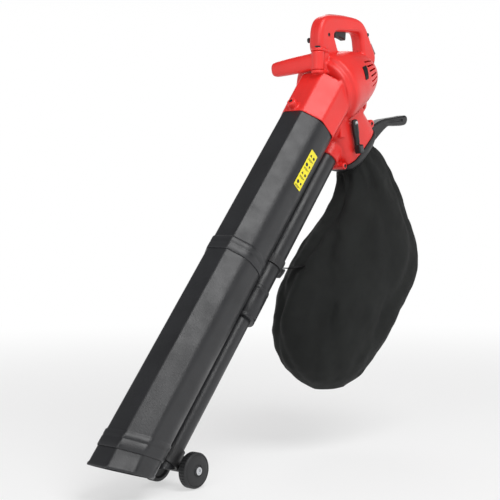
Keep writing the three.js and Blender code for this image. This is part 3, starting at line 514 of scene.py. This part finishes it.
def housing_inside():
    """The hollows: one smooth room for the air and the motor, then the grip's and the posts'."""
    def placed(points, frame):
        return [tuple(frame @ Vector(p)) for p in points]

    parts = [
        loft("duct_bore", [placed(octagon(66.4, -20), WAND), placed(octagon(66.4, 26), WAND),
                           placed(octagon(62, 56), WAND), placed(octagon(54, -24), MOTOR),
                           placed(octagon(54, -14), MOTOR)]),
        lathe("fan_room", [(66, -16), (72, -11), (74, -6), (79, -1), (80, 19)], MOTOR),
        lathe("motor_room", [(76, 24), (76, 38), (60.5, 106), (38.5, 148), (26, 159)], MOTOR),
        lathe("shaft_room", [(17, 15), (17, 30)], MOTOR),
        loft("flow_room", [oval(46, 36, -88, 4), oval(58, 40.5, -66, 4),
                           *[oval(PORT_X - PORT_WALL, PORT_Y - PORT_WALL, z, 4) for z in (-20, 12)]], PORT),
        block("throat_room", (-40, -38, -258), (20, 38, -212)),
        block("blow_room", (72, -37, 56), (124, 37, 96), WAND),
        lathe("socket_room", [(26.35, -10), (26.35, 74)], BLOW),
        slab("neck_room", [(4, -196), (34, -196), (50, -180), (50, -146), (10, -140)], 64, 4),
    ]
    room = moulded("inside", parts, 2.5, 2)
    grip = [(-88, -2), (-74, 13), (0, 18.5), (56, 16.5), (74, 2), (62, -3), (52, -6), (-42, -12), (-62, -10)]
    posts = [[(-100, -60), (-97, -8), (-60, -8), (-54, -22), (-42, -56)],
             [(72, 4), (92, -26), (113, -58), (104, -80), (74, -80), (70, -60), (64, -20)]]
    return [room, slab("grip_room", grip, 26), *[slab("post_room", post, 26) for post in posts]]


def slot_cutters():
    """Cooling slots round the dome's tail, along the flow box and in the neck."""
    cutters = []
    for side in (-1, 1):
        for i in range(6):
            turned = MOTOR @ Matrix.Rotation(rad(side * (56 + 10 * i)), 4, "Z")
            cutters.append(block("tail_slot", (-85, -1.9, 84), (-50, 1.9, 128), turned))
        near, far = (32, 54) if side > 0 else (-54, -32)
        for i in range(5):
            cutters.append(block("box_slot", (-32 + 9 * i, near, -218 + 4.2 * i),
                                 (-27 + 9 * i, far, -209 + 4.2 * i)))
        cutters.append(block("neck_slot", (34, near, -190), (44, far, -168)))
    return cutters


def housing():
    shell = housing_outside()
    for part in housing_inside():
        combined(shell, [part], "DIFFERENCE")
    cutters = [
        block("trigger_slot", (-38.5, -9, -30), (10.5, 9, 0)),
        pin("dial_hole", -93, -40, 3, 4, 24, 24),
        block("inlet_hole", (-15, -11.5, -28), (15, 11.5, 8), INLET),
        pin("lever_hole", PIVOT.x, PIVOT.z, 5.4, -60, 60),
        upright("bolt_hole", HUB, 3.4, -119.5, -50),
        lathe("lug_hole", [(2.6, 50), (2.6, 77), (4.5, 77), (4.5, 90)], LUG, 32),
        *slot_cutters(),
    ]
    for x, z, half in SCREWS:
        cutters += [pin("screw_hole", x, z, 2.4, -half - 3, half - 4, 24),
                    pin("screw_seat", x, z, 4.6, -half - 3, -half + 5, 32)]
    carve(shell, cutters)
    for name, low, high in (("left", -REACH, -SPLIT_GAP), ("right", SPLIT_GAP, REACH)):
        half = shell.copy()
        half.data = shell.data.copy()
        half.name = f"housing_{name}_shell"
        bpy.context.collection.objects.link(half)
        combined(half, [block("side", (-REACH, low, -REACH), (REACH, high, REACH))], "INTERSECT")
        finished(half, "housing", RED, [f"housing_{name}"])
    discard([shell])


# ---------- tubes ----------
UPPER_CORNERS = (44, 44, 44, 9, 9, 44, 44, 44)
LOWER_CORNERS = (44, 44, 44, 9, 9, 16, 44, 44)
TUBE_WALL = 2.6
BAND_SLANT, MOUTH_SLANT = 0.33, 0.39


def hollow(name, outer, inner, frame):
    return loft(name, outer + inner[::-1], frame, loop=True)


def ring(r, z, slant=0.0, shrink=0.0):
    """Section of the wide tube; the slanted ones, at its lower end, have one more clear ridge."""
    corners = LOWER_CORNERS if slant else UPPER_CORNERS
    return octagon(r, z, slant, [max(4.0, c - shrink) for c in corners])


def tubes():
    """Each ring just inside a step keeps the long flat faces shading flat up to it."""
    band, mouth, wall = BAND_SLANT, MOUTH_SLANT, TUBE_WALL
    upper = hollow("tube_upper_shell", [
        ring(66, 14), ring(66, 0), ring(66.9, -0.8), ring(66.9, -2.4), ring(66.9, -354.4), ring(66.9, -356),
        ring(68.4, -358), ring(69.4, -361), ring(69.4, -370), ring(68.9, -371.5), ring(68.9, -374),
        ring(69.4, -375.5), ring(69.4, -388), ring(68.6, -390)],
        [ring(64.4, 14), ring(64.4, -361, 0, wall), ring(67.4, -363, 0, wall), ring(67.4, -390, 0, wall)], WAND)
    lower = hollow("tube_lower_shell", [
        ring(TUBE_R, -364), ring(TUBE_R, -365.6), ring(TUBE_R, -811.4, band), ring(TUBE_R, -813, band),
        ring(69.4, -816, band), ring(69.4, -826, band), ring(68.8, -828, band), ring(68.8, -830, band),
        ring(69.4, -832, band), ring(69.4, -849, band), ring(68.6, -851, band)],
        [ring(64.4, -364, 0, wall), ring(64.4, -851, band, wall)], WAND)
    end = hollow("nozzle_shell", [
        ring(64.0, -821, band), ring(64.0, -851.3, band), ring(TUBE_R, -851.6, band), ring(TUBE_R, -883, mouth),
        ring(68.4, -885, mouth), ring(68.4, -889, mouth), ring(67.4, -891, mouth)],
        [ring(64.05 - wall, -821, band, wall), ring(61.5, -891, mouth, wall)], WAND)
    for obj, node in ((upper, "tube_upper"), (lower, "tube_lower"), (end, "nozzle")):
        finished(obj, "housing", TUBE, [node], 50)
    slim = [(26, 28), (26, -374), (28.2, -376), (28.6, -379), (28.6, -384), (27.8, -385.5), (27.8, -388),
            (28.6, -389.5), (28.6, -446), (27.8, -447.5), (27.8, -450), (28.6, -451.5), (28.6, -455),
            (27.8, -457)]
    slim_in = [(20.4, -457), (20.4, -397), (23.8, -377), (23.8, 28)]
    top = lathe("blow_tube_upper_shell", slim + slim_in, BLOW, loop=True)
    low = lathe("blow_tube_lower_shell", [(20, -398.5), (20, -842), (17.8, -842), (17.8, -398.5)], BLOW,
                loop=True)
    sloped = BLOW @ Matrix.Translation((0, 0, -822)) @ Matrix.Rotation(rad(-35), 4, "Y")
    combined(low, [block("end", (-60, -40, -30), (60, 40, 0), sloped)], "DIFFERENCE")
    for obj, node in ((top, "blow_tube_upper"), (low, "blow_tube_lower")):
        finished(obj, "housing", TUBE, [node], 40)


def label():
    """Plain film with generic marks: rows of dots, bars and triangles."""
    face = -TUBE_R * math.cos(rad(22.5)) - 0.15
    frame = WAND @ Matrix.Translation((0, face, -122))
    film = slab("label_film", [(-13, -50), (13, -50), (13, 50), (-13, 50)], 0.5, 2.5, 0.15, middle=-0.35,
                frame=frame)
    finished(film, "housing", LABEL, ["tube_label"])
    points, faces = [], []

    def mark(shape):
        start = len(points)
        for y in (-0.85, -0.62):
            points.extend((x, y, z) for x, z in shape)
        n = len(shape)
        faces.append(tuple(start + i for i in range(n)))
        faces.append(tuple(start + n + i for i in reversed(range(n))))
        faces.extend((start + i, start + n + i, start + n + (i + 1) % n, start + (i + 1) % n)
                     for i in range(n))

    def around(x, z, r, sides):
        angles = [rad(90 + 360 * i / sides) for i in range(sides)]
        return [(x + r * math.cos(a), z + r * math.sin(a)) for a in angles]

    for row in range(4):
        z = -36 + row * 24
        mark(around(-5.5, z, 4.2, 3 if row % 2 else 16))
        mark(around(5.8, z + 1, 3.4, 16 if row % 2 else 4))
        for k in range(2):
            high, end = z - 8 - 2.6 * k, 9 - 5 * k
            mark([(-9, high), (end, high), (end, high - 1.2), (-9, high - 1.2)])
    finished(made("label_marks", points, faces, frame), "housing", INK)


# ---------- wheels ----------
def wheels():
    for side, sign in (("left", -1), ("right", 1)):
        spot = WAND @ Vector((BLOW_OFFSET + 26.5, 0, -804))
        frame = Matrix.Translation((spot.x, sign * 52, spot.z)) @ Matrix.Rotation(rad(-90 * sign), 4, "X")
        half, bore, tread = 10.5, 4.35, 36
        profile = [(bore, -half), (12, -half), (13, -half + 1), (14.5, -half + 5), (26, -half + 5),
                   (28, -half + 1), (29, -half), (33, -half), (34.8, -half + 0.8), (tread, -half + 2.5),
                   (tread, half - 5), (35.2, half - 3.4), (33.4, half - 2.2), (32.6, half - 2.4),
                   (31.6, half - 3.2), (30.6, half - 2.4), (27, half - 1.2), (20, half - 0.3), (12.5, half),
                   (12, half - 0.8), (11, half - 0.8), (10.5, half), (bore, half)]
        wheel = lathe(f"wheel_{side}_tread", profile, frame, 144, loop=True)
        ribs = []
        for i in range(36):
            turned = frame @ Matrix.Rotation(rad(10 * i), 4, "Z")
            ribs.append(block("groove", (34.9, -0.9, -half - 1), (38, 0.9, half - 5.5), turned))
        carve(wheel, ribs)
        finished(wheel, f"wheel_{side}", WHEEL, [f"wheel_{side}"], 40)


# ---------- handle, lever and adapter ----------
def side_handle():
    reach = Vector((-math.sin(rad(4)), math.cos(rad(4)), -math.tan(rad(7)))).normalized()
    across = Vector((0, 0, 1)).cross(reach).normalized()
    upward = reach.cross(across).normalized()
    frame = Matrix((across, upward, reach)).transposed().to_4x4()
    frame.translation = HUB + Vector((0, 0, 1))
    stations = [(0, 12, 19), (8, 12.3, 19), (20, 13, 19), (45, 14.2, 18.9), (70, 15.4, 18.6), (92, 15.6, 17.8),
                (108, 15.2, 16.9), (115, 14.6, 16), (118.5, 13, 14.4), (120.3, 11, 12.4), (121, 8.4, 9.6)]
    stick = loft("stick", [oval(a, b, z, 2.7) for z, a, b in stations], frame)
    hub = upright("hub", HUB, 14.5, -111.6, -70.4)
    trims = [upright("trim", HUB, 17.5, low, high) for low, high in ((-160, -111.6), (-70.4, -30))]
    grip = moulded("side_handle_grip", [stick, hub], 1.3, 4)
    combined(grip, trims, "DIFFERENCE")
    combined(grip, [upright("bore", HUB, 3.6, -130, -50)], "DIFFERENCE")
    finished(grip, "side_handle", RED, ["side_handle"])


def lever():
    frame = frame_at(PIVOT.x, PIVOT.z, 168)
    plate = slab("plate", [(-9, -9), (9, -9), (9, 24), (6, 34), (6, 52), (-6, 52), (-6, 34), (-9, 24)], 9,
                 [8, 8, 6, 6, 2, 2, 6, 6], 2.5, middle=-54, frame=frame)
    ridge = slab("ridge", [(-3, 0), (3, 0), (3, 46), (-3, 46)], 4, 2.5, 1.5, middle=-59, frame=frame)
    knob = slab("knob", [(-8.5, 50), (8.5, 50), (8.5, 70), (-8.5, 70)], 16, 4, 2.5, middle=-58.5, frame=frame)
    arm = moulded("mode_lever_arm", [plate, ridge, knob], 0.9, 3)
    combined(arm, [pin("bore", PIVOT.x, PIVOT.z, 5.25, -58, -45, 32)], "DIFFERENCE")
    finished(arm, "mode_selector", BLACK, ["mode_lever"])
    # The grey pad on the knob is a painted highlight: a lighter sheet where light falls on the black lever.
    pad = slab("mode_lever_highlight_pad", [(-6, 53), (6, 53), (6, 66), (-6, 66)], 1.6, 2, 0.5, middle=-66.4,
               frame=frame)
    finished(pad, "mode_selector", HIGHLIGHT_GREY)


def adapter():
    x, y = PORT_X, PORT_Y
    bore = loft("bore", [oval(x - 9, y - 9, -60, 4), oval(x - 9, y - 9, 12, 4),
                         oval(x - 12, y - 10, 60, 3)], PORT)
    collar = loft("bag_adapter_shell", [
        oval(x + 1.4, y + 1.4, 0.4, 4), oval(x + 2, y + 2, 1.4, 4), oval(x + 2, y + 2, 11, 4),
        oval(x, y, 14, 4), oval(x - 4, y - 2.6, 20, 3.3), oval(x - 6, y - 4, 22, 3)], PORT)
    sleeve = loft("sleeve", [oval(x - 6, y - 6, -16, 4), oval(x - 6, y - 6, 6, 4)], PORT)
    tab = slab("tab", [(84, -246), (112, -224), (140, -213), (160, -207), (236, -196), (258, -192), (264, -202),
                       (258, -216), (236, -220), (180, -222), (156, -236), (112, -268)], 30,
               [2, 8, 8, 8, 10, 8, 8, 8, 10, 12, 10, 4], 5)
    combined(tab, [loft("room", [oval(x + 1, y + 1, -60, 4), oval(x + 1, y + 1, 10, 4)], PORT)], "DIFFERENCE")
    for side in (-1, 1):
        flute = slab("flute", [(168, -214), (176, -210), (238, -203), (240, -209), (180, -215)], 5, 2, 1.5,
                     middle=side * 15)
        combined(tab, [flute], "DIFFERENCE")
    body = combined(collar, [sleeve, tab])
    combined(body, [bore], "DIFFERENCE")
    finished(body, "bag", BLACK, ["bag_adapter"])


# ---------- bag ----------
SECTIONS = [  # centre x and z, half lengths along X and Y, tilt
    (50, -298, 60, 38, -41.35), (72, -332, 80, 50, -33), (88, -386, 108, 62, -16), (84, -450, 154, 82, -7),
    (70, -520, 202, 100, -2), (40, -588, 219, 110, 0), (4, -645, 210, 110, 0), (-24, -705, 192, 102, 0),
    (-44, -765, 152, 86, 0), (-46, -812, 100, 60, 0), (-46, -838, 50, 30, 0)]
CLOTH_THICK = 1.2
BAG_POWER = 2.1            # a little squarer than an ellipse
FOLDS = [  # angle, lean, width, depth
    (205, 2.0, 26, 9), (238, -1.4, 20, 7), (268, 1.2, 24, 8), (300, -1.8, 22, 8), (330, 1.4, 20, 6),
    (180, -1.2, 18, 6), (20, 1.6, 22, 7), (55, -1.4, 24, 8), (92, 1.3, 22, 7), (125, -1.6, 20, 7),
    (155, 1.4, 20, 6)]
AROUND = 180


def bag():
    stations = smooth_profile([Vector(s) for s in SECTIONS], 10)
    rings = []
    for k, (x, z, a, b, tilt) in enumerate(stations):
        depth = k / (len(stations) - 1)
        rings.append(bag_ring(x, z, a, b, -tilt, depth))
    x, z = SECTIONS[-1][:2]
    for a, b, drop in ((36, 21, 1.2), (20, 11, 1.8), (4, 2, 2)):
        rings.append(bag_ring(x, z - drop, a, b, 0, 1))
    sack = loft("bag_skin", rings, open_ends=True)
    close = bmesh.new()
    close.from_mesh(sack.data)
    close.verts.ensure_lookup_table()
    last = (len(rings) - 1) * AROUND
    close.faces.new([close.verts[last + i] for i in range(AROUND)])
    bmesh.ops.recalc_face_normals(close, faces=close.faces)
    close.to_mesh(sack.data)
    close.free()
    thick = sack.modifiers.new("cloth", "SOLIDIFY")
    thick.thickness, thick.offset = CLOTH_THICK * MM, -1
    applied(sack)
    finished(sack, "bag", CLOTH, ["bag"], 180)


def bag_ring(x, z, a, b, tilt, depth):
    """One ring of the sack: long folds that run down and across it, and gathers at the neck."""
    points = []
    full = math.sin(math.pi * min(1.0, 0.12 + 0.88 * depth))
    for i in range(AROUND):
        angle = 360 * (i + 0.5) / AROUND
        dent = 0.0
        for at, lean, wide, deep in FOLDS:
            away = (angle - at - lean * 42 * (depth - 0.4) + 540) % 360 - 180
            crease = math.exp(-(away / (0.32 * wide)) ** 2)
            swell = math.exp(-((away - wide * 0.75) / (0.5 * wide)) ** 2)
            dent += deep * full * (crease - 0.55 * swell)
        c, s = math.cos(rad(angle)), math.sin(rad(angle))
        place = Vector((x + a * c, b * s, z))
        dent += 5.5 * full * noise.noise(place * 0.014) + 2.6 * noise.noise(place * 0.04 + Vector((7, 3, 1)))
        dent += 3.2 * max(0.0, 1 - depth / 0.22) * math.sin(rad(angle * 13 + 60 * noise.noise(place * 0.02)))
        keep = 0.0 if depth <= 0 else min(1.0, depth / 0.05)
        shrink = 1 - (keep * (dent + 3.0)) / (0.5 * (a + b))
        px = a * shrink * math.copysign(abs(c) ** (2 / BAG_POWER), c)
        py = b * shrink * math.copysign(abs(s) ** (2 / BAG_POWER), s)
        points.append((x + px * math.cos(rad(tilt)), py, z + px * math.sin(rad(tilt))))
    return points


def strap():
    """Webbing that runs from the bag's skin towards the clip's hook and dips a little on the way."""
    low = [(-214, -556), (-190, -557), (-160, -555), (-126, -549)]
    band = slab("strap_webbing", low + [(x, z + 2.2) for x, z in low[::-1]], 18, 0.4, 0.4)
    finished(band, "bag", WEBBING, ["bag_strap"])


def zip_tape():
    """Zip tape let into the sack; the slider runs along it with a small gap."""
    tape = block("zip_tape", (13, 88, -706), (33, 110.1, -562))
    ease = tape.modifiers.new("ease", "BEVEL")
    ease.width, ease.segments = 4 * MM, 4
    applied(tape)
    finished(tape, "bag", WEBBING)


def grip_pad():
    """Ribbed pad let into the top of the grip."""
    line = [(-56, 20.3), (-30, 22.2), (0, 23.3), (30, 22.8), (52, 21.6)]
    top = [(x, z + 0.9) for x, z in line]
    pad = slab("grip_pad", line + top[::-1], 13, 0.2, 0.3)
    gaps = []
    for i in range(26):
        x = -54 + 4.1 * i
        gaps.append(block("rib_gap", (x, -5, 22.2), (x + 1.6, 5, 25)))
    finished(carve(pad, gaps), "housing", RED_GRIP, ["grip_cover"])


# ---------- carried-over CAD nodes ----------
def carried():
    """CAD nodes shown as they are get a material and slightly rounded edges."""
    special = {"side_handle_bolt": SCREW, "tube_screw": SCREW, "rating_badge": BADGE,
               **{f"housing_screw_{i}": SCREW for i in range(1, 6)}}
    entries = {row["node"]: row["material_slot"] for row in frame["record"]["subparts"]}
    for name, obj in frame["nodes"].items():
        if obj.hide_render:
            continue
        obj.data.materials.clear()
        obj.data.materials.append(special.get(name, SLOTS[entries[name]]))
        ease = obj.modifiers.new("eased_edges", "BEVEL")
        ease.width, ease.segments, ease.limit_method, ease.angle_limit = 0.5 * MM, 2, "ANGLE", rad(40)
        ease.harden_normals = True


housing()
tubes()
label()
wheels()
side_handle()
lever()
adapter()
bag()
strap()
zip_tape()
grip_pad()
carried()
